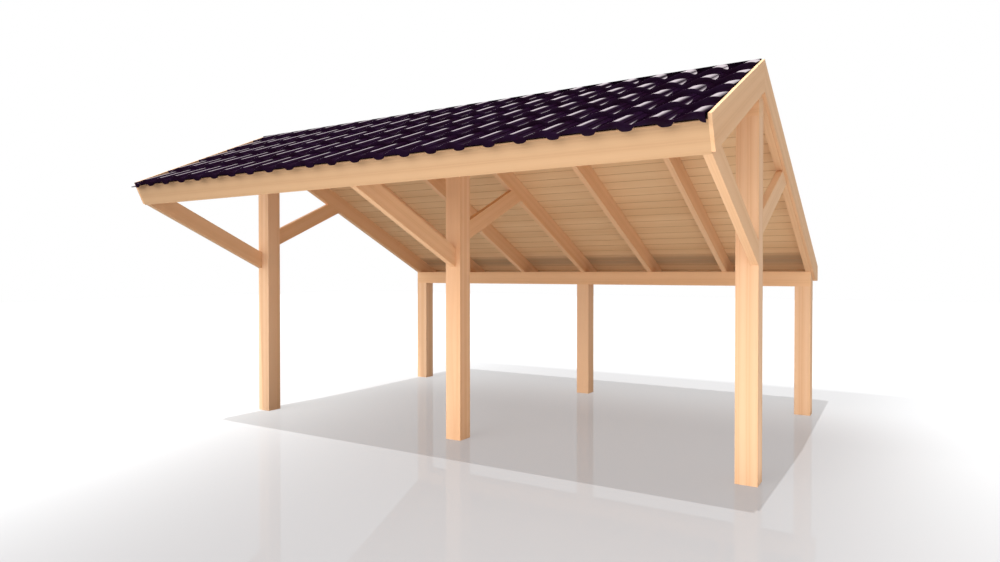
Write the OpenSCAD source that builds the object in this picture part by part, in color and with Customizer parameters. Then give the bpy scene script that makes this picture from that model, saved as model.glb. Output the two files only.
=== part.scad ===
// Open timber pole barn: three tall front posts under the ridge, three short
// rear posts under a wall plate, and a saddle roof with one short and one
// long slope. Millimetres, +Z up. The origin lies on the ground under the
// middle of the whole outline.

/* [Frame] */
// Length over the outer faces of the end posts
frame_l = 6000; // [4200:50:9000]
// Distance between the front faces of the front and the rear posts
frame_d = 3212; // [2800:4:4400]
// Side of every square post, of the wall plate and of the ridge purlin
post_w = 180; // [140:5:240]
// Height of the wall plate's underside above the ground
plate_clear = 1564; // [1400:2:2400]

/* [Roof frame] */
// Pitch of both slopes in degrees
pitch = 24.7; // [18:0.1:32]
// Thickness of a rafter
rafter_t = 60; // [45:1:100]
// Depth of a rafter across the slope
rafter_h = 205; // [160:5:260]
// Number of rafters on each slope; an odd number sets one over the middle post
rafter_n = 7; // [5:2:11]
// Depth of the seat that each rafter has over the ridge purlin
ridge_seat = 30; // [15:1:45]
// Length of the front rafters' top edge, from the ridge to the square end
front_run = 1797; // [1500:1:2200]
// Overhang of the rear rafters behind the wall plate
rear_overhang = 254; // [150:1:400]
// Drop of the level cut under the rear rafter tails below the plate's top
tail_drop = 114; // [80:1:150]

/* [Braces] */
// Thickness of a brace
brace_t = 60; // [45:1:100]
// Depth of a brace
brace_h = 180; // [120:5:200]
// Angle of the braces above the horizontal in degrees
brace_angle = 24.7; // [20:0.1:35]
// Distance from under the ridge to where the rear braces meet the rafters
rear_brace_reach = 1275; // [950:5:1550]

/* [Boards and tiles] */
// Thickness of the roof boarding
board_t = 12; // [10:1:30]
// Thickness of the eaves and verge boards
trim_t = 25; // [18:1:40]
// Depth of the verge boards across the slope
verge_h = 240; // [200:5:300]
// Height of the verge boards' top edge above the boarding
verge_rise = 35; // [15:1:60]
// Height of the tile courses' tails above the boarding
tile_t = 66; // [50:1:90]
// Rise of each tile course's tail over the course below it
tile_step = 31; // [20:1:40]
// Spacing of the tile courses down the slope
tile_gauge = 413; // [330:1:450]
// Overhang of the tiles beyond the eaves boards
tile_overhang = 60; // [30:5:90]
// Width of the strip that closes the ridge between the tiles
ridge_strip_w = 24; // [16:1:40]
// Height of the ridge strip above the boarding
ridge_strip_h = 40; // [20:1:50]

/* [Hidden] */
timber = "#EEC49A";
trim_timber = "#E4B98E";
glazed_tile = "#1C0A1E";

// Slope terms; the two slopes are named by the sign of their y side
cp = cos(pitch);
sp = sin(pitch);
tp = tan(pitch);
front = -1;
rear = 1;

// Wall plate and purlin; y is counted from the line under the ridge until along_x()
half_post = post_w / 2;
plate_top = plate_clear + post_w;
plate_y = frame_d - half_post;
plate_back = plate_y + post_w;
soffit_z = plate_top + plate_y * tp;
deck_z = soffit_z + rafter_h / cp;
purlin_top = soffit_z - half_post * tp + ridge_seat;
purlin_bottom = purlin_top - post_w;

// Ends of the two slopes
front_end = front_run + trim_t;
tail_y = plate_back + rear_overhang;
tail_z = plate_top - tail_drop;
rear_end_y = tail_y + trim_t;
rear_end = (rear_end_y - board_t * sp) / cp;
verge_top = board_t + verge_rise;
tile_top = board_t + tile_t;

half_strip = ridge_strip_w / 2;
front_tile_end = front_end + tile_overhang;
rear_tile_end = rear_end + tile_overhang;

// The front braces end under the middle of the eaves board
front_brace_reach = -on_slope(front, front_run + trim_t / 2, -rafter_h)[0];

// Reach of the tiles on each side, which centres the outline on the origin
front_reach = -on_slope(front, front_tile_end, tile_top)[0];
rear_reach = on_slope(rear, rear_tile_end, tile_top)[0];
mid_y = (rear_reach - front_reach) / 2;

// Places along the length
sides = ["left", "middle", "right"];
half_l = frame_l / 2;
post_x = [-half_l, -half_post, half_l - post_w];
brace_x = [-half_l, -brace_t / 2, half_l - brace_t];
verge_x = [-half_l - trim_t, half_l];
rafter_step = (frame_l - rafter_t) / (rafter_n - 1);

// Point [y, z] at a distance down a slope and a height square to the rafters' top
function on_slope(side, down, height) =
    [side * (down * cp + height * sp), deck_z - down * sp + height * cp];

// Point [y, z] straight above a distance from the ridge, on a plane parallel to the slope
function over(side, y, height) =
    [side * y, deck_z + height / cp - y * tp];

// Layer between two heights over the rafters, from the ridge to a square end
function square_layer(side, low, high, end) = [
    over(side, 0, low),
    over(side, 0, high),
    on_slope(side, end, high),
    on_slope(side, end, low)
];

// Layer between two heights over the rafters, from the ridge to a plumb end, whose
// lower corner is cut level at a height above the ground
function tail_layer(side, low, high, end_y, level) = [
    over(side, 0, low),
    over(side, 0, high),
    over(side, end_y, high),
    [side * end_y, level],
    [side * (deck_z + low / cp - level) / tp, level]
];

// Cross-section of a timber from one corner [y, z] to the one opposite
function section(a, b) = [a, [b[0], a[1]], b, [a[0], b[1]]];

purlin_section = section([-half_post, purlin_bottom], [half_post, purlin_top]);
plate_section = section([plate_y, plate_clear], [plate_back, plate_top]);

// Point [y, z] where a brace edge that starts at a height on the post meets the rafters
function brace_tip(side, foot) =
    over(side, (soffit_z - foot + half_post * tan(brace_angle)) / (tp + tan(brace_angle)), -rafter_h);

// Draws a cross-section of the frame out along its length
module along_x(x0, length, points)
    translate([x0, -mid_y, 0])
        rotate([90, 0, 90])
            linear_extrude(length)
                polygon(points);

// Square post from the ground up to a height
module post(i, y0, height)
    color(timber)
        along_x(post_x[i], post_w, section([y0, 0], [y0 + post_w, height]));

// Wall plate on the rear posts
module rear_plate()
    color(timber)
        along_x(-half_l, frame_l, plate_section);

// Purlin on the front posts, under the ridge
module ridge_purlin()
    color(timber)
        along_x(-half_l, frame_l, purlin_section);

// Rafter of either slope, notched over the purlin and, at the rear, over the plate
module rafter(i, points)
    color(timber)
        difference() {
            along_x((i - 1) * rafter_step - half_l, rafter_t, points);
            along_x(-frame_l, 2 * frame_l, purlin_section);
            along_x(-frame_l, 2 * frame_l, plate_section);
        }

module front_rafter(i)
    rafter(i, square_layer(front, -rafter_h, 0, front_run));

module rear_rafter(i)
    rafter(i, tail_layer(rear, -rafter_h, 0, tail_y, tail_z));

// Brace from a front post up to the underside of a rafter, whose lower edge meets it at a reach
module brace(i, side, reach) {
    foot = soffit_z - reach * tp - (reach - half_post) * tan(brace_angle);
    head = foot + brace_h / cos(brace_angle);
    color(timber)
        along_x(brace_x[i], brace_t, [
            [side * half_post, foot],
            over(side, reach, -rafter_h),
            brace_tip(side, head),
            [side * half_post, head]
        ]);
}

// Eaves board square to the slope on the ends of the front rafters
module front_fascia()
    color(trim_timber)
        along_x(-half_l, frame_l, [
            on_slope(front, front_run, -rafter_h),
            on_slope(front, front_run, 0),
            on_slope(front, front_end, 0),
            on_slope(front, front_end, -rafter_h)
        ]);

// Plumb eaves board on the tails of the rear rafters
module rear_fascia()
    color(trim_timber)
        along_x(-half_l, frame_l, [
            [tail_y, tail_z],
            over(rear, tail_y, 0),
            over(rear, rear_end_y, 0),
            [rear_end_y, tail_z]
        ]);

// Verge boards on the outer faces of the end rafters
module front_verge(i)
    color(trim_timber)
        along_x(verge_x[i], trim_t, square_layer(front, verge_top - verge_h, verge_top, front_end));

module rear_verge(i)
    color(trim_timber)
        along_x(verge_x[i], trim_t, tail_layer(rear, verge_top - verge_h, verge_top, rear_end_y, tail_z));

// Boarding on the rafters and over the eaves boards, between the verge boards
module front_boarding()
    color(trim_timber)
        along_x(-half_l, frame_l, square_layer(front, 0, board_t, front_end));

module rear_boarding()
    color(trim_timber)
        along_x(-half_l, frame_l, [
            over(rear, 0, 0),
            over(rear, 0, board_t),
            over(rear, rear_end_y, board_t),
            over(rear, rear_end_y, 0)
        ]);

// Strip on the boarding along the ridge, against which the tiles of both slopes end
module ridge_strip()
    color(glazed_tile)
        along_x(-half_l, frame_l, [
            over(front, half_strip, board_t),
            over(front, 0, board_t),
            over(rear, half_strip, board_t),
            [half_strip, deck_z + (board_t + ridge_strip_h) / cp],
            [-half_strip, deck_z + (board_t + ridge_strip_h) / cp]
        ]);

// Upper outline of the tile courses of one slope, from the ridge to the last tail. Each course
// is tilted, so that its tail stands over the head of the course below it.
function course_tops(side, end) = [
    for (tail = [end - tile_gauge * floor(end / tile_gauge) : tile_gauge : end + 1])
        each [
            tail > tile_gauge
                ? on_slope(side, tail - tile_gauge, tile_top - tile_step)
                : over(side, half_strip, tile_top - tile_step * tail / tile_gauge),
            on_slope(side, tail, tile_top)
        ]
];

// Tile courses of one slope, bedded on the boarding
module tiles(side, end)
    color(glazed_tile)
        along_x(-half_l, frame_l, concat(
            [on_slope(side, end, board_t), over(side, half_strip, board_t)],
            course_tops(side, end)
        ));

for (i = [0:2]) {
    post(i, -half_post, purlin_bottom);
    post(i, plate_y, plate_clear);
    brace(i, front, front_brace_reach);
    brace(i, rear, rear_brace_reach);
}
for (i = [1:rafter_n]) {
    front_rafter(i);
    rear_rafter(i);
}
rear_plate();
ridge_purlin();
front_fascia();
rear_fascia();
front_verge(0);  // front_verge_left
front_verge(1);  // front_verge_right
rear_verge(0);  // rear_verge_left
rear_verge(1);  // rear_verge_right
front_boarding();
rear_boarding();
ridge_strip();
tiles(front, front_tile_end);  // front_tiles
tiles(rear, rear_tile_end);  // rear_tiles
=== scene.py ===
"""Looks of an open timber pole barn: planed spruce, dark glazed pantiles and a pale studio."""
import logging
import math
from dataclasses import dataclass
from enum import Enum
from typing import Any, Callable, Optional, Sequence

import bmesh
import bpy
from mathutils import Matrix, Vector


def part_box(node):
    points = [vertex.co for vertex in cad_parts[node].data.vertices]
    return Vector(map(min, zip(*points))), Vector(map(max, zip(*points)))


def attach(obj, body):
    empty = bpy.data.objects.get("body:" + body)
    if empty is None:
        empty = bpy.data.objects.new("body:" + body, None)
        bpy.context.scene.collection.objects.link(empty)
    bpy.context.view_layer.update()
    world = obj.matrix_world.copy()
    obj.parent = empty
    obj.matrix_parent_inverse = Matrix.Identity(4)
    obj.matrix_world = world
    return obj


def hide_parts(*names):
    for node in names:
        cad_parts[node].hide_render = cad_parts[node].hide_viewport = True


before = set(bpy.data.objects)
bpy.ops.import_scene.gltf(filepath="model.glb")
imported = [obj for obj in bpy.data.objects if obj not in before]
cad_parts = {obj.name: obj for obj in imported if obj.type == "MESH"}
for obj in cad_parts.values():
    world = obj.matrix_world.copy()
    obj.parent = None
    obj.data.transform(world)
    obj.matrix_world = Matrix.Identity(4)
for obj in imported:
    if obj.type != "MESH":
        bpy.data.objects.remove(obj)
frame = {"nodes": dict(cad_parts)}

LOG = logging.getLogger("pole_barn")
MM = 0.001
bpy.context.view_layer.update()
ROOF_PITCH = math.radians(24.7)
PITCH_COS, PITCH_SIN = math.cos(ROOF_PITCH), math.sin(ROOF_PITCH)
WHITE = "#FFFFFF"


def srgb(code: str) -> tuple[float, float, float, float]:
    """Turn an sRGB hex colour into the linear one that Blender works in.

    Args:
        code: six hex digits, with or without a leading hash.

    Returns:
        Linear red, green, blue and an alpha of one.
    """
    digits = code.lstrip("#")
    channels = [int(digits[i:i + 2], 16) / 255 for i in (0, 2, 4)]
    linear = [c / 12.92 if c <= 0.04045 else ((c + 0.055) / 1.055) ** 2.4 for c in channels]
    return (linear[0], linear[1], linear[2], 1.0)


def add_node(tree: bpy.types.NodeTree, kind: str, settings: Optional[dict[str, Any]] = None,
             inputs: Optional[dict[Any, Any]] = None) -> bpy.types.Node:
    """Add a shader node with its settings, socket values and links.

    Args:
        tree: the node tree that gets the node.
        kind: the node's type, without the leading "ShaderNode".
        settings: attributes to set on the node.
        inputs: socket name or number to a value, or to an output socket to link from.

    Returns:
        The new node.
    """
    node = tree.nodes.new("ShaderNode" + kind)
    for name, value in (settings or {}).items():
        setattr(node, name, value)
    for socket, value in (inputs or {}).items():
        if isinstance(value, bpy.types.NodeSocket):
            tree.links.new(value, node.inputs[socket])
        else:
            node.inputs[socket].default_value = value
    return node


def new_material(name: str) -> tuple[bpy.types.Material, bpy.types.NodeTree]:
    """Make an empty node material.

    Args:
        name: the material's name.

    Returns:
        The material and its node tree.
    """
    material = bpy.data.materials.new(name)
    material.use_nodes = True
    material.node_tree.nodes.clear()
    return material, material.node_tree


def set_ramp(node: bpy.types.Node, stops: Sequence[tuple[float, str]]) -> None:
    """Give a colour ramp its stops.

    Args:
        node: the colour ramp node.
        stops: position and sRGB hex colour of each stop, from left to right.
    """
    ramp = node.color_ramp
    while len(ramp.elements) < len(stops):
        ramp.elements.new(1.0)
    for element, (position, code) in zip(ramp.elements, stops):
        element.position = position
        element.color = srgb(code)


def mesh_object(name: str, shape_it: Callable[[bmesh.types.BMesh], None]) -> bpy.types.Object:
    """Build a mesh with bmesh operators and put it in the scene.

    Args:
        name: the piece's name.
        shape_it: function that is given the empty bmesh and shapes it.

    Returns:
        The new object, at the origin.
    """
    shape = bmesh.new()
    shape_it(shape)
    mesh = bpy.data.meshes.new(name)
    shape.to_mesh(mesh)
    shape.free()
    piece = bpy.data.objects.new(name, mesh)
    bpy.context.scene.collection.objects.link(piece)
    return piece


def stand_for(piece: bpy.types.Object, node: str) -> None:
    """Fix a piece to the frame in place of a CAD node.

    Args:
        piece: the finished piece.
        node: the CAD node that it stands for.
    """
    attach(piece, "root")
    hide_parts(node)
    LOG.info("%s stands for %s: %d faces", piece.name, node, len(piece.data.polygons))


class Grain(Enum):
    """The way a timber's grain runs."""

    ALONG_X = "x"
    ALONG_Z = "z"
    FRONT_SLOPE = "front_slope"
    REAR_SLOPE = "rear_slope"

    @property
    def turn(self) -> tuple[float, float, float]:
        """Rotation that brings the grain onto the Z axis of the pattern."""
        return {
            Grain.ALONG_X: (0.0, math.pi / 2, 0.0),
            Grain.ALONG_Z: (0.0, 0.0, 0.0),
            Grain.FRONT_SLOPE: (math.pi / 2 - ROOF_PITCH, 0.0, 0.0),
            Grain.REAR_SLOPE: (math.pi / 2 + ROOF_PITCH, 0.0, 0.0),
        }[self]


class Slope(Enum):
    """The two slopes of the roof, by the sign of their side of the ridge."""

    FRONT = -1
    REAR = 1


@dataclass(frozen=True)
class PlanedSpruce:
    """Planed, unfinished spruce: pale early wood, honey late wood, fine fibres along the grain.

    The planer leaves it nearly matt, so that it shows its tones and fibres and hardly any gloss.
    """

    pale: str = "#F2C8A2"
    honey: str = "#EBBC92"
    streak: str = "#DDA679"
    ring_share: float = 0.4
    tone_mm: float = 200.0
    ring_mm: float = 42.0
    fibre_mm: float = 3.0
    fibre_tones: tuple[float, float] = (0.972, 1.02)
    fibre_relief_mm: float = 0.4
    grain_length: float = 0.03
    roughness: tuple[float, float] = (0.54, 0.72)
    gloss: float = 0.1
    # Reach and depth of the painted shade strip over the wall plate.
    painted_shade_reach: tuple[float, float] = (0.03, 0.20)
    painted_shade_depth: float = 0.66

    def build(self, name: str, grain: Grain,
              painted_shade_y: Optional[float] = None) -> bpy.types.Material:
        """Make the material for one direction of grain.

        Args:
            name: the material's name.
            grain: which way the grain runs.
            painted_shade_y: place of the painted shade, a darker strip where boards pass over the
                wall plate.

        Returns:
            The finished material.
        """
        material, tree = new_material(name)
        coord = add_node(tree, "TexCoord")
        turned = add_node(tree, "Mapping", {"vector_type": "POINT"},
                          {"Vector": coord.outputs["Object"], "Rotation": grain.turn})
        stretched = add_node(tree, "Mapping", {"vector_type": "POINT"},
                             {"Vector": turned.outputs["Vector"],
                              "Scale": (1.0, 1.0, self.grain_length)})
        along = stretched.outputs["Vector"]
        # A fibre is half a cell of the noise wide. Real ones are finer than can be seen here.
        fibre = add_node(tree, "TexNoise", None,
                         {"Vector": along, "Scale": 0.5 / (self.fibre_mm * MM),
                          "Detail": 4.0, "Roughness": 0.6})
        fibre_tone = add_node(tree, "MapRange", None,
                              {"Value": fibre.outputs["Fac"], "From Min": 0.3, "From Max": 0.7,
                               "To Min": self.fibre_tones[0], "To Max": self.fibre_tones[1]})
        shade = fibre_tone.outputs["Result"]
        # Painted shade: a soft darker strip where the boards pass over the wall plate.
        if painted_shade_y is not None:
            shade = self.paint_shade_over_plate(tree, coord.outputs["Object"], shade, painted_shade_y)
        colour = add_node(tree, "VectorMath", {"operation": "SCALE"},
                          {0: self.tones(tree, along), "Scale": shade})
        rough = add_node(tree, "MapRange", None,
                         {"Value": fibre.outputs["Fac"], "To Min": self.roughness[0],
                          "To Max": self.roughness[1]})
        bump = add_node(tree, "Bump", None,
                        {"Strength": 0.25, "Distance": self.fibre_relief_mm * MM,
                         "Height": fibre.outputs["Fac"]})
        shader = add_node(tree, "BsdfPrincipled", None,
                          {"Base Color": colour.outputs[0], "Roughness": rough.outputs["Result"],
                           "Normal": bump.outputs["Normal"], "IOR": 1.5,
                           "Specular IOR Level": self.gloss})
        add_node(tree, "OutputMaterial", None, {"Surface": shader.outputs[0]})
        return material

    def tones(self, tree: bpy.types.NodeTree, along: bpy.types.NodeSocket) -> bpy.types.NodeSocket:
        """Blend the slow change of tone with the growth rings that the plane cuts open.

        Args:
            tree: the material's node tree.
            along: place in the pattern, drawn out along the grain.

        Returns:
            The socket that gives the wood's colour.
        """
        slow = add_node(tree, "TexNoise", None,
                        {"Vector": along, "Scale": 1.0 / (self.tone_mm * MM), "Detail": 2.0})
        slow_tone = add_node(tree, "ValToRGB", None, {0: slow.outputs["Fac"]})
        set_ramp(slow_tone, ((0.30, self.honey), (0.70, self.pale)))
        # A band of the wave texture is 1 / (6.3 x scale) wide.
        rings = add_node(tree, "TexWave", {"wave_type": "RINGS", "rings_direction": "Z"},
                         {"Vector": along, "Scale": 1.0 / (self.ring_mm * MM) / 6.3,
                          "Distortion": 2.6, "Detail": 3.0, "Detail Scale": 1.6,
                          "Detail Roughness": 0.55})
        ring_tone = add_node(tree, "ValToRGB", None, {0: rings.outputs["Fac"]})
        set_ramp(ring_tone, ((0.0, self.pale), (0.62, self.honey), (0.93, self.streak),
                             (1.0, self.honey)))
        blended = add_node(tree, "Mix", {"data_type": "RGBA", "blend_type": "MIX"},
                           {"Factor": self.ring_share, 6: slow_tone.outputs["Color"],
                            7: ring_tone.outputs["Color"]})
        return blended.outputs[2]

    def paint_shade_over_plate(self, tree: bpy.types.NodeTree, place: bpy.types.NodeSocket,
                       shade: bpy.types.NodeSocket, painted_shade_y: float) -> bpy.types.NodeSocket:
        """Paint shade into the wood: a soft darker strip along X.

        Args:
            tree: the material's node tree.
            place: place on the piece.
            shade: the shade so far.
            painted_shade_y: middle of the strip.

        Returns:
            The socket that gives the darkened shade.
        """
        spot = add_node(tree, "SeparateXYZ", None, {0: place})
        away = add_node(tree, "Math", {"operation": "SUBTRACT"},
                        {0: spot.outputs["Y"], 1: painted_shade_y})
        near = add_node(tree, "Math", {"operation": "ABSOLUTE"}, {0: away.outputs[0]})
        dim = add_node(tree, "MapRange", {"interpolation_type": "SMOOTHSTEP"},
                       {"Value": near.outputs[0], "From Min": self.painted_shade_reach[0],
                        "From Max": self.painted_shade_reach[1], "To Min": self.painted_shade_depth})
        dimmed = add_node(tree, "Math", {"operation": "MULTIPLY"}, {0: shade, 1: dim.outputs[0]})
        return dimmed.outputs[0]


@dataclass(frozen=True)
class GlazedClay:
    """Engobed and glazed clay, aubergine black: a wet mirror gloss over a faintly uneven body."""

    colour: str = "#170716"
    mottle: str = "#1D0D22"
    cloud_mm: float = 111.111
    gloss_tint: str = "#F7EAF0"
    roughness: float = 0.03
    gloss_at_front: float = 0.004
    gloss_at_grazing: float = 0.84
    grazing: tuple[float, float] = (0.80, 0.88)

    def build(self, name: str) -> bpy.types.Material:
        """Make the glaze: nearly black from the front, a clear mirror where it is seen at a slant.

        Args:
            name: the material's name.

        Returns:
            The finished material.
        """
        material, tree = new_material(name)
        coord = add_node(tree, "TexCoord")
        cloud = add_node(tree, "TexNoise", None,
                         {"Vector": coord.outputs["Object"],
                          "Scale": 1.0 / (self.cloud_mm * MM), "Detail": 3.0})
        tone = add_node(tree, "ValToRGB", None, {0: cloud.outputs["Fac"]})
        set_ramp(tone, ((0.35, self.colour), (0.7, self.mottle)))
        body = add_node(tree, "BsdfDiffuse", None, {"Color": tone.outputs["Color"]})
        gloss = add_node(tree, "BsdfGlossy", None,
                         {"Color": srgb(self.gloss_tint), "Roughness": self.roughness})
        slant = add_node(tree, "LayerWeight", None, {"Blend": 0.5})
        share = add_node(tree, "MapRange", {"interpolation_type": "SMOOTHSTEP"},
                         {"Value": slant.outputs["Facing"], "From Min": self.grazing[0],
                          "From Max": self.grazing[1], "To Min": self.gloss_at_front,
                          "To Max": self.gloss_at_grazing})
        shader = add_node(tree, "MixShader", None,
                          {0: share.outputs[0], 1: body.outputs[0], 2: gloss.outputs[0]})
        add_node(tree, "OutputMaterial", None, {"Surface": shader.outputs[0]})
        return material


@dataclass(frozen=True)
class PaintedStrip:
    """Black painted metal of the ridge strip: dull, so that the ridge reads as one dark line."""

    colour: str = "#080308"
    worn: str = "#100812"
    wear_mm: float = 71.4286
    roughness: float = 0.7

    def build(self, name: str) -> bpy.types.Material:
        """Make the paint, a little uneven in tone.

        Args:
            name: the material's name.

        Returns:
            The finished material.
        """
        material, tree = new_material(name)
        coord = add_node(tree, "TexCoord")
        wear = add_node(tree, "TexNoise", None,
                        {"Vector": coord.outputs["Object"],
                         "Scale": 1.0 / (self.wear_mm * MM), "Detail": 4.0})
        tone = add_node(tree, "ValToRGB", None, {0: wear.outputs["Fac"]})
        set_ramp(tone, ((0.4, self.colour), (0.75, self.worn)))
        shader = add_node(tree, "BsdfPrincipled", None,
                          {"Base Color": tone.outputs["Color"], "Roughness": self.roughness,
                           "Specular IOR Level": 0.0})
        add_node(tree, "OutputMaterial", None, {"Surface": shader.outputs[0]})
        return material


@dataclass(frozen=True)
class PolishedFloor:
    """Pale sealed floor with a faint clear reflection, which keeps the barn's shadow.

    It fades to white all round. Depths are counted from under the ridge towards the rear.
    """

    ridge_y: float
    half_size: float = 40.0
    colour: str = "#E4E6E8"
    veil: float = 0.75
    veil_colour: str = "#B3AEAE"
    gloss: float = 0.40
    roughness: float = 0.015
    glare: float = 0.58
    least_bounce: float = 0.22
    left_fade: tuple[float, float] = (0.40, -3.10)
    left_skew: float = 0.25
    rear_fade: tuple[float, float] = (1.6, 4.0)
    rear_white: float = 0.42
    edge_fade: tuple[float, float] = (5.1, 5.5)
    right_fade: tuple[float, float] = (3.0, 4.9)
    right_white: float = 0.75
    right_depths: tuple[float, float] = (-2.5, 1.5)
    right_front_share: float = 0.4
    far_fade: tuple[float, float] = (9.0, 14.0)

    def build(self) -> bpy.types.Object:
        """Returns:
            The floor.
        """
        material, tree = new_material("sealed_pale_floor")
        self.shade(tree)
        floor = mesh_object("studio_floor", self.lay)
        floor.data.materials.append(material)
        return floor

    def lay(self, shape: bmesh.types.BMesh) -> None:
        """Shape the floor as one square."""
        bmesh.ops.create_grid(shape, x_segments=1, y_segments=1, size=self.half_size)

    def shade(self, tree: bpy.types.NodeTree) -> None:
        """Fill the floor's material: body, veil, sealer and the glare that fades it out.

        Args:
            tree: the material's empty node tree.
        """
        path = add_node(tree, "LightPath")
        eye = path.outputs["Is Camera Ray"]
        through = self.fades(tree)
        white = add_node(tree, "Math", {"operation": "SUBTRACT"}, {0: 1.0, 1: through})
        seen = add_node(tree, "Math", {"operation": "MULTIPLY"}, {0: white.outputs[0], 1: eye})
        haze = add_node(tree, "Emission", None, {"Color": srgb(WHITE), "Strength": 1.0})
        # The veil evens the floor out to the eye alone, and adds no light to the barn.
        veil = add_node(tree, "Emission", None, {"Color": srgb(self.veil_colour), "Strength": 1.0})
        thin = add_node(tree, "Math", {"operation": "MULTIPLY"}, {0: eye, 1: self.veil})
        # Light that the floor throws up under the roof weakens where the floor fades.
        bounce = add_node(tree, "MapRange", None, {"Value": through, "To Min": self.least_bounce})
        kept = add_node(tree, "Math", {"operation": "MAXIMUM"}, {0: bounce.outputs[0], 1: eye})
        tone = add_node(tree, "VectorMath", {"operation": "SCALE"},
                        {0: srgb(self.colour)[:3], "Scale": kept.outputs[0]})
        body = add_node(tree, "BsdfDiffuse", None, {"Color": tone.outputs[0]})
        veiled = add_node(tree, "MixShader", None,
                          {0: thin.outputs[0], 1: body.outputs[0], 2: veil.outputs[0]})
        sealer = add_node(tree, "BsdfGlossy", None, {"Roughness": self.roughness})
        fresnel = add_node(tree, "Fresnel", None, {"IOR": 1.5})
        sheen = add_node(tree, "Math", {"operation": "MULTIPLY"},
                         {0: fresnel.outputs[0], 1: self.gloss})
        sealed = add_node(tree, "MixShader", None,
                          {0: sheen.outputs[0], 1: veiled.outputs[0], 2: sealer.outputs[0]})
        # In the glare the lit floor burns out to white, and a shadow stays faintly visible.
        glare = add_node(tree, "MixShader", None,
                         {0: self.glare, 1: body.outputs[0], 2: haze.outputs[0]})
        mixed = add_node(tree, "MixShader", None,
                         {0: seen.outputs[0], 1: sealed.outputs[0], 2: glare.outputs[0]})
        add_node(tree, "OutputMaterial", None, {"Surface": mixed.outputs[0]})

    def fades(self, tree: bpy.types.NodeTree) -> bpy.types.NodeSocket:
        """Work out how much of the floor shows at each place.

        Args:
            tree: the material's node tree.

        Returns:
            The socket that gives one where the floor shows and nought where it is all white.
        """
        coord = add_node(tree, "TexCoord")
        place = add_node(tree, "SeparateXYZ", None, {0: coord.outputs["Object"]})
        depth = add_node(tree, "Math", {"operation": "SUBTRACT"},
                         {0: place.outputs["Y"], 1: self.ridge_y})
        skew = add_node(tree, "Math", {"operation": "MULTIPLY_ADD"},
                        {0: depth.outputs[0], 1: self.left_skew, 2: place.outputs["X"]})
        left = add_node(tree, "MapRange", None,
                        {"Value": skew.outputs[0], "From Min": self.left_fade[0],
                         "From Max": self.left_fade[1]})
        left_soft = add_node(tree, "Math", {"operation": "POWER"}, {0: left.outputs[0], 1: 2.0})
        rear = add_node(tree, "MapRange", {"interpolation_type": "SMOOTHSTEP"},
                        {"Value": depth.outputs[0], "From Min": self.rear_fade[0],
                         "From Max": self.rear_fade[1], "To Max": self.rear_white})
        edge = add_node(tree, "MapRange", None,
                        {"Value": depth.outputs[0], "From Min": self.edge_fade[0],
                         "From Max": self.edge_fade[1]})
        beside = add_node(tree, "MapRange", {"interpolation_type": "SMOOTHSTEP"},
                          {"Value": place.outputs["X"], "From Min": self.right_fade[0],
                           "From Max": self.right_fade[1], "To Max": self.right_white})
        # The right side is paler beside the rear posts than beside the front ones.
        rearward = add_node(tree, "MapRange", None,
                            {"Value": depth.outputs[0], "From Min": self.right_depths[0],
                             "From Max": self.right_depths[1], "To Min": self.right_front_share})
        right = add_node(tree, "Math", {"operation": "MULTIPLY"},
                         {0: beside.outputs[0], 1: rearward.outputs[0]})
        reach = add_node(tree, "VectorMath", {"operation": "LENGTH"}, {0: coord.outputs["Object"]})
        far = add_node(tree, "MapRange", {"interpolation_type": "SMOOTHSTEP"},
                       {"Value": reach.outputs["Value"], "From Min": self.far_fade[0],
                        "From Max": self.far_fade[1]})
        # Each fade lets through what the others leave.
        first, *others = [
            add_node(tree, "Math", {"operation": "SUBTRACT"}, {0: 1.0, 1: fade.outputs[0]})
            for fade in (left_soft, rear, edge, right, far)]
        through = first.outputs[0]
        for rest in others:
            both = add_node(tree, "Math", {"operation": "MULTIPLY"},
                            {0: through, 1: rest.outputs[0]})
            through = both.outputs[0]
        return through


@dataclass
class RoofPlane:
    """Frame of one slope: x along the ridge, y down the slope, z square to the rafters' top."""

    slope: Slope
    ridge_y: float
    deck_z: float
    half_length: float

    def to_world(self) -> Matrix:
        """Matrix from the slope's own frame to the CAD frame."""
        side = self.slope.value
        return Matrix(((1, 0, 0, 0),
                       (0, side * PITCH_COS, side * PITCH_SIN, self.ridge_y),
                       (0, -PITCH_SIN, PITCH_COS, self.deck_z),
                       (0, 0, 0, 1)))

    def lower_end(self, node: str, height: float) -> float:
        """Find how far down the slope a CAD layer's lowest corner lies.

        Args:
            node: the layer's node.
            height: height of that corner over the rafters' top.

        Returns:
            Distance from the ridge, to the millimetre.
        """
        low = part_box(node)[0]
        return round((self.deck_z + height * PITCH_COS - low.z) / PITCH_SIN, 3)


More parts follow.
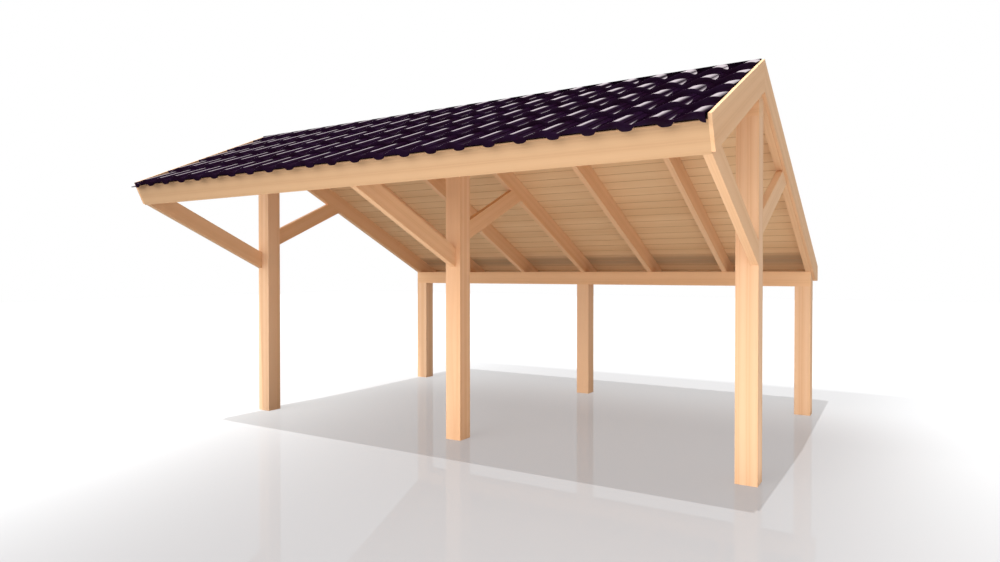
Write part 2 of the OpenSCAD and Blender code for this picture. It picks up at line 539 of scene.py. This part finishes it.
@dataclass
class TileField:
    """Interlocking pantiles of one slope, laid in courses from the eaves to the ridge.

    Each tile has a pan on its left and a broad roll on its right whose free edge laps over the
    next pan. Its tail stands on the course below, so that every course is a little tilted.
    The first pan has a flat flange beside it, against the left verge.
    """

    plane: RoofPlane
    material: bpy.types.Material
    cut_material: bpy.types.Material
    tail: float
    ridge_gap: float
    across_mm: tuple[float, ...] = (0, 8, 16, 24, 34, 46, 62, 80, 100, 120, 142, 166, 190, 207,
                                    222, 236, 248, 257.6)
    cover: float = 257.6 * MM
    gauge: float = 413.0 * MM
    head_lap: float = 30.0 * MM
    least_course: float = 20.0 * MM
    pan_end: float = 46.0 * MM
    crest: float = 190.0 * MM
    pan_height: float = 47.0 * MM
    roll_height: float = 31.0 * MM
    fillet: float = 13.0 * MM
    flank: float = 14.0 * MM
    tilt: float = 0.077
    thickness: float = 10.0 * MM
    least_edge: float = 0.1 * MM
    nose: float = 3.0 * MM
    foot: float = 5.0 * MM
    foot_x: float = 8.0 * MM
    foot_reach: float = 52.0 * MM
    eaves_underside: float = 33.0 * MM
    lap_drop: float = 5.0 * MM
    flange: float = 81.5 * MM
    flange_lap: float = 12.0 * MM
    flange_thickness: float = 9.0 * MM
    flange_height: float = 18.0 * MM
    flange_step: float = 3.0 * MM
    flange_tilt: float = 0.02
    smooth_angle: float = math.radians(40)

    def build(self, name: str, node: str) -> bpy.types.Object:
        """Lay every tile of the slope as one piece that stands for the CAD tile layer.

        Args:
            name: the piece's name.
            node: the CAD node that it stands for.

        Returns:
            The piece.
        """
        piece = mesh_object(name, self.lay)
        piece.data.materials.append(self.material)
        piece.data.materials.append(self.cut_material)
        piece.data.shade_smooth()
        piece.data.set_sharp_from_angle(angle=self.smooth_angle)
        stand_for(piece, node)
        return piece

    def lay(self, shape: bmesh.types.BMesh) -> None:
        """Lay the courses, cut them at the right verge and set them on the slope.

        Args:
            shape: the bmesh that collects the tiles.
        """
        half = self.plane.half_length
        tail, at_eaves = self.tail, True
        while tail > self.ridge_gap + self.least_course:
            head = max(tail - self.gauge - self.head_lap, self.ridge_gap)
            self.add_course(shape, tail, tail - head, at_eaves)
            tail, at_eaves = tail - self.gauge, False
        everything = shape.verts[:] + shape.edges[:] + shape.faces[:]
        cut = bmesh.ops.bisect_plane(shape, geom=everything, plane_co=(half, 0, 0),
                                     plane_no=(1, 0, 0), clear_outer=True)
        rim = [edge for edge in cut["geom_cut"] if isinstance(edge, bmesh.types.BMEdge)]
        for face in bmesh.ops.holes_fill(shape, edges=rim)["faces"]:
            face.material_index = 1
        if self.plane.slope is Slope.REAR:
            bmesh.ops.scale(shape, verts=shape.verts, vec=(-1, 1, 1))
        bmesh.ops.transform(shape, matrix=self.plane.to_world(), verts=shape.verts)
        bmesh.ops.recalc_face_normals(shape, faces=shape.faces)

    def add_course(self, shape: bmesh.types.BMesh, tail: float, length: float,
                   at_eaves: bool) -> None:
        """Add one course: a tile repeated along the ridge, and the flange beside the first pan.

        Args:
            shape: the bmesh that collects the tiles.
            tail: distance of the course's lower end from the ridge.
            length: length of its tiles down the slope.
            at_eaves: whether it is the lowest course, whose tail faces are scalloped.
        """
        half = self.plane.half_length
        course = bmesh.new()
        self.add_tile(course, length, at_eaves)
        bmesh.ops.translate(course, verts=course.verts, vec=(self.flange - half, 0, 0))
        columns = math.ceil((2 * half - self.flange) / self.cover)
        bmesh.ops.spin(course, geom=course.verts[:] + course.edges[:] + course.faces[:],
                       cent=(0, 0, 0), axis=(1, 0, 0), dvec=(self.cover, 0, 0), angle=0,
                       steps=columns - 1, use_duplicate=True)
        strip = bmesh.ops.create_cube(course, size=1.0)["verts"]
        bmesh.ops.scale(course, verts=strip,
                        vec=(self.flange + self.flange_lap, length, self.flange_thickness))
        bmesh.ops.translate(course, verts=strip,
                            vec=((self.flange + self.flange_lap) / 2 - half, -length / 2,
                                 self.flange_height + (0 if at_eaves else self.flange_step)))
        for corner in strip:
            corner.co.z += self.flange_tilt * corner.co.y
        bmesh.ops.translate(course, verts=course.verts, vec=(0, tail, 0))
        mesh = bpy.data.meshes.new("course")
        course.to_mesh(mesh)
        course.free()
        shape.from_mesh(mesh)
        bpy.data.meshes.remove(mesh)

    def add_tile(self, course: bmesh.types.BMesh, length: float, at_eaves: bool) -> None:
        """Model one tile: a corrugated sheet with a rounded nose and a face under its tail.

        The lower edge of the tail face is drawn first and extruded up the face, round the nose,
        over the top and back underneath. The tail lies at y = 0.

        Args:
            course: the empty bmesh that gets the tile.
            length: the tile's length down the slope.
            at_eaves: whether its tail face is scalloped.
        """
        outline = self.profile()
        if at_eaves:
            bottoms = [self.foot_depth(x) for x, _ in outline]
        else:
            bottoms = [z - self.gauge * self.tilt - self.lap_drop for _, z in outline]
        # Each station: distance above the tail and drop below the profile.
        stations = ((0.0, self.nose), (self.nose * 0.4, self.nose * 0.35), (self.nose * 1.3, 0.0),
                    (self.nose * 2.5, 0.0), (length, 0.0), (length, self.thickness))
        rows = [(up, [z - drop - up * self.tilt for _, z in outline]) for up, drop in stations]
        rows.append((self.thickness, [max(z - self.thickness, bottom + self.least_edge)
                                      for (_, z), bottom in zip(outline, bottoms)]))
        rows.append((self.thickness, bottoms))
        corners = [course.verts.new((x, 0, bottom)) for (x, _), bottom in zip(outline, bottoms)]
        first = rim = [course.edges.new(pair) for pair in zip(corners, corners[1:])]
        for up, heights in rows:
            made = bmesh.ops.extrude_edge_only(course, edges=rim)["geom"]
            fresh = sorted((v for v in made if isinstance(v, bmesh.types.BMVert)),
                           key=lambda v: v.co.x)
            for corner, height in zip(fresh, heights):
                corner.co.y, corner.co.z = -up, height
            rim = [edge for edge in made if isinstance(edge, bmesh.types.BMEdge)
                   and all(v in fresh for v in edge.verts)]
        bmesh.ops.bridge_loops(course, edges=first + rim)
        bmesh.ops.holes_fill(course, edges=[edge for edge in course.edges if edge.is_boundary])

    def profile(self) -> list[tuple[float, float]]:
        """Draw the top outline across one tile.

        Returns:
            Place and height of each point, from the edge of the roll before it to its own edge.
        """
        outline = []
        for x in (across * MM for across in self.across_mm):
            if x < self.pan_end:
                height = self.fillet * ((self.pan_end - x) / self.pan_end) ** 2
            elif x < self.crest:
                climb = (x - self.pan_end) / (self.crest - self.pan_end)
                height = self.roll_height * (1 - math.cos(math.pi * climb)) / 2
            else:
                fall = (x - self.crest) / (self.cover - self.crest)
                height = self.roll_height - self.flank * fall ** 2.6
            outline.append((x, self.pan_height + height))
        return outline

    def foot_depth(self, x: float) -> float:
        """Find the lower edge of an eaves tile's tail face.

        Args:
            x: place across the tile.

        Returns:
            Its height over the rafters' top: low at the joints of the tiles, high between them.
        """
        from_joint = min(abs(x - self.foot_x), abs(x - self.foot_x - self.cover))
        if from_joint > self.foot_reach:
            return self.eaves_underside
        swell = math.sqrt(max(0.0, 1 - (from_joint / self.foot_reach) ** 3))
        return self.eaves_underside - (self.eaves_underside - self.foot) * swell


@dataclass
class Boarding:
    """Roof boarding of one slope: boards along the ridge, chamfered so that they meet in Vs."""

    plane: RoofPlane
    material: bpy.types.Material
    painted_shade_joint_material: bpy.types.Material
    length: float
    thickness: float
    board: float = 156.0 * MM
    chamfer: float = 5.0 * MM
    gap: float = 0.4 * MM

    def build(self, name: str, node: str) -> bpy.types.Object:
        """Lay the boards side by side as one piece that stands for the CAD boarding.

        Args:
            name: the piece's name.
            node: the CAD node that it stands for.

        Returns:
            The piece.
        """
        piece = mesh_object(name, self.lay)
        piece.data.materials.append(self.material)
        piece.data.materials.append(self.painted_shade_joint_material)
        stand_for(piece, node)
        return piece

    def lay(self, shape: bmesh.types.BMesh) -> None:
        """Lay the boards from the ridge down; their sides and chamfers get a darker tone, painted
        shade in the V joints.

        Args:
            shape: the bmesh that collects the boards.
        """
        start = 0.0
        while start < self.length - MM:
            end = min(start + self.board - self.gap, self.length)
            self.add_board(shape, start, end)
            start = end + self.gap
        shape.normal_update()
        # Board sides and chamfers face along the slope; they get the painted shade of the joints.
        for face in shape.faces:
            if abs(face.normal.y) > 0.5:
                face.material_index = 1
        bmesh.ops.transform(shape, matrix=self.plane.to_world(), verts=shape.verts)
        bmesh.ops.recalc_face_normals(shape, faces=shape.faces)

    def add_board(self, shape: bmesh.types.BMesh, start: float, end: float) -> None:
        """Add one board, with the two long edges of its underside chamfered.

        Args:
            shape: the bmesh that collects the boards.
            start: distance of its upper side from the ridge.
            end: distance of its lower side from the ridge.
        """
        made = bmesh.ops.create_cube(shape, size=1.0)["verts"]
        bmesh.ops.scale(shape, verts=made,
                        vec=(2 * self.plane.half_length, end - start, self.thickness))
        bmesh.ops.translate(shape, verts=made, vec=(0, (start + end) / 2, self.thickness / 2))
        under_edges = {edge for corner in made for edge in corner.link_edges
                       if all(abs(v.co.z) < MM for v in edge.verts)
                       and abs(edge.verts[0].co.x - edge.verts[1].co.x) > MM}
        bmesh.ops.bevel(shape, geom=list(under_edges), offset=self.chamfer, affect="EDGES",
                        segments=1, profile=0.5, material=-1)


@dataclass
class TimberFrame:
    """Posts, plate, purlin, rafters, braces and trim boards, dressed with planed spruce."""

    post_spruce: PlanedSpruce = PlanedSpruce()
    frame_spruce: PlanedSpruce = PlanedSpruce(pale="#F2C59A", honey="#E9B88B", streak="#D6A274",
                                              ring_share=0.22)
    # Painted shade: a darker copy of the spruce for the fascias, which face down and get less
    # light.
    eaves_painted_shade_spruce: PlanedSpruce = PlanedSpruce(pale="#D3AB84", honey="#CBA27A", streak="#BD916B",
                                              ring_share=0.3)

    def dress(self, nodes: dict[str, bpy.types.Object]) -> None:
        """Give every timber the spruce whose grain runs along it.

        Args:
            nodes: the CAD nodes by name.
        """
        woods = {grain: self.frame_spruce.build(f"planed_spruce_{grain.value}", grain)
                 for grain in Grain}
        woods[Grain.ALONG_Z] = self.post_spruce.build("planed_spruce_posts", Grain.ALONG_Z)
        # The fascias get the darker copy of the spruce, painted shade.
        eaves = self.eaves_painted_shade_spruce.build("planed_spruce_eaves_board_painted_shade", Grain.ALONG_X)
        for name, piece in nodes.items():
            grain = self.grain_of(name)
            if grain is None:
                continue
            for slot in piece.material_slots:
                slot.material = eaves if name.endswith("_fascia") else woods[grain]
            LOG.info("dressed %s, grain %s", name, grain.value)

    @staticmethod
    def grain_of(name: str) -> Optional[Grain]:
        """Tell which way a timber's grain runs.

        Args:
            name: the timber's node.

        Returns:
            Direction of its grain, or None for what isn't timber.
        """
        if "_post_" in name:
            return Grain.ALONG_Z
        if "front_rafter" in name or "front_verge" in name or "rear_brace" in name:
            return Grain.FRONT_SLOPE
        if "rear_rafter" in name or "rear_verge" in name or "front_brace" in name:
            return Grain.REAR_SLOPE
        if name in ("rear_plate", "ridge_purlin", "front_fascia", "rear_fascia"):
            return Grain.ALONG_X
        return None


@dataclass
class Roof:
    """Boarding, pantiles and ridge strip of both slopes, placed by the CAD pieces."""

    ridge_y: float
    board_spruce: PlanedSpruce = PlanedSpruce(pale="#EFC89B", honey="#E6BC8E", streak="#D8A97B",
                                              ring_share=0.12)
    # Painted shade: a darker copy of the spruce for the board sides and chamfers, where the V
    # joints lie in shade.
    joint_painted_shade_spruce: PlanedSpruce = PlanedSpruce(pale="#D2A77F", honey="#C99E76", streak="#BA8F69",
                                              ring_share=0.12)
    glaze: GlazedClay = GlazedClay()
    strip_paint: PaintedStrip = PaintedStrip()
    strip_clearance: float = 0.5 * MM
    rear_tail_tuck: float = 4.0 * MM
    # The rear boards' painted shade is centred this far in front of the wall plate's back.
    painted_shade_before_plate_back: float = 40.0 * MM

    def build(self, nodes: dict[str, bpy.types.Object]) -> None:
        """Lay the boards and the tiles of both slopes, and paint the ridge strip.

        Args:
            nodes: the CAD nodes by name.
        """
        deck_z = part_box("front_rafter_1")[1].z
        boards_low, boards_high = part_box("front_boarding")
        thickness = (boards_high.z - deck_z) * PITCH_COS
        front, rear = (RoofPlane(slope, self.ridge_y, deck_z, boards_high.x) for slope in Slope)
        glaze = self.glaze.build("glazed_clay_aubergine")
        front_boards = self.board_spruce.build("planed_spruce_boards_front", Grain.ALONG_X)
        # The rear boards get a strip of painted shade over the wall plate.
        plate_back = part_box("rear_plate")[1].y
        rear_boards = self.board_spruce.build("planed_spruce_boards_rear", Grain.ALONG_X,
                                              plate_back - self.painted_shade_before_plate_back)
        joints = self.joint_painted_shade_spruce.build("planed_spruce_board_joints_painted_shade", Grain.ALONG_X)
        front_length = (self.ridge_y - boards_low.y) / PITCH_COS
        rear_length = (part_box("rear_boarding")[1].y - self.ridge_y) / PITCH_COS
        Boarding(front, front_boards, joints, front_length, thickness).build(
            "front_boards", "front_boarding")
        Boarding(rear, rear_boards, joints, rear_length, thickness).build(
            "rear_boards", "rear_boarding")
        strip = self.strip_paint.build("black_painted_metal_strip")
        strip_low, strip_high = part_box("ridge_strip")
        ridge_gap = ((strip_high.y - strip_low.y) / 2 + self.strip_clearance) / PITCH_COS
        front_tail = front.lower_end("front_tiles", thickness)
        rear_tail = rear.lower_end("rear_tiles", thickness) - self.rear_tail_tuck
        TileField(front, glaze, strip, front_tail, ridge_gap).build("front_pantiles", "front_tiles")
        TileField(rear, glaze, strip, rear_tail, ridge_gap).build("rear_pantiles", "rear_tiles")
        for slot in nodes["ridge_strip"].material_slots:
            slot.material = strip


@dataclass
class Studio:
    """Camera, lamp, floor and white surround."""

    ridge_y: float
    lens_mm: float = 24.45
    camera_at: tuple[float, float, float] = (4.070, -5.823, 1.7246)
    camera_turn: tuple[float, float, float] = (89.343, 0.0, 31.41)
    sun_from: tuple[float, float, float] = (-0.035, -0.38, 1.0)
    sun_strength: float = 3.0
    sun_angle: float = 0.3
    left_level: float = 0.874
    right_level: float = 0.57
    fill: float = 3.0
    fill_from: tuple[float, float, float] = (-4.0, -19.0, 6.6)
    fill_edge: tuple[float, float] = (0.80, 0.97)

    def build(self) -> None:
        """Set up everything around the barn."""
        self.add_camera()
        self.add_world()
        self.add_sun()
        PolishedFloor(self.ridge_y).build()

    def add_camera(self) -> None:
        """Place the camera at standing eye level, off the right front corner."""
        data = bpy.data.cameras.new("camera")
        data.lens = self.lens_mm
        data.sensor_width = 36.0
        camera = bpy.data.objects.new("camera", data)
        x, y, z = self.camera_at
        camera.location = (x, y + self.ridge_y, z)
        camera.rotation_euler = [math.radians(angle) for angle in self.camera_turn]
        bpy.context.scene.collection.objects.link(camera)
        bpy.context.scene.camera = camera

    def add_sun(self) -> None:
        """Add the key lamp, high and a little in front."""
        data = bpy.data.lights.new("key_sun", "SUN")
        data.energy = self.sun_strength
        data.angle = math.radians(self.sun_angle)
        lamp = bpy.data.objects.new("key_sun", data)
        lamp.rotation_euler = Vector(self.sun_from).to_track_quat("Z", "Y").to_euler()
        bpy.context.scene.collection.objects.link(lamp)

    def add_world(self) -> None:
        """Make the surround: white to the eye and in reflections, soft light to everything else."""
        world = bpy.data.worlds.new("studio")
        bpy.context.scene.world = world
        world.use_nodes = True
        tree = world.node_tree
        tree.nodes.clear()
        path = add_node(tree, "LightPath")
        seen = add_node(tree, "Math", {"operation": "MAXIMUM"},
                        {0: path.outputs["Is Camera Ray"], 1: path.outputs["Is Glossy Ray"]})
        clear = add_node(tree, "Math", {"operation": "MAXIMUM"},
                         {0: seen.outputs[0], 1: path.outputs["Is Transmission Ray"]})
        coord = add_node(tree, "TexCoord")
        place = add_node(tree, "SeparateXYZ", None, {0: coord.outputs["Generated"]})
        # The room is a little dimmer towards the right.
        around = add_node(tree, "MapRange", None,
                          {"Value": place.outputs["X"], "From Min": -1.0, "From Max": 1.0,
                           "To Min": self.left_level, "To Max": self.right_level})
        # A broad soft light comes from low in front, a little from the left.
        toward = add_node(tree, "VectorMath", {"operation": "DOT_PRODUCT"},
                          {0: coord.outputs["Generated"], 1: Vector(self.fill_from).normalized()})
        lobe = add_node(tree, "MapRange", {"interpolation_type": "SMOOTHSTEP"},
                        {"Value": toward.outputs["Value"], "From Min": self.fill_edge[0],
                         "From Max": self.fill_edge[1], "To Max": self.fill})
        light = add_node(tree, "Math", {"operation": "ADD"},
                         {0: around.outputs[0], 1: lobe.outputs[0]})
        ambient = add_node(tree, "Background", None,
                           {"Color": srgb(WHITE), "Strength": light.outputs[0]})
        white = add_node(tree, "Background", None, {"Color": srgb(WHITE), "Strength": 1.0})
        mixed = add_node(tree, "MixShader", None,
                         {0: clear.outputs[0], 1: ambient.outputs[0], 2: white.outputs[0]})
        add_node(tree, "OutputWorld", None, {"Surface": mixed.outputs[0]})


def main() -> None:
    """Build the looks in order."""
    logging.basicConfig(level=logging.INFO)
    bpy.context.scene.view_settings.view_transform = "Standard"
    ridge_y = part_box("front_boarding")[1].y
    Studio(ridge_y).build()
    TimberFrame().dress(frame["nodes"])
    Roof(ridge_y).build(frame["nodes"])


if __name__ == "__main__":
    main()
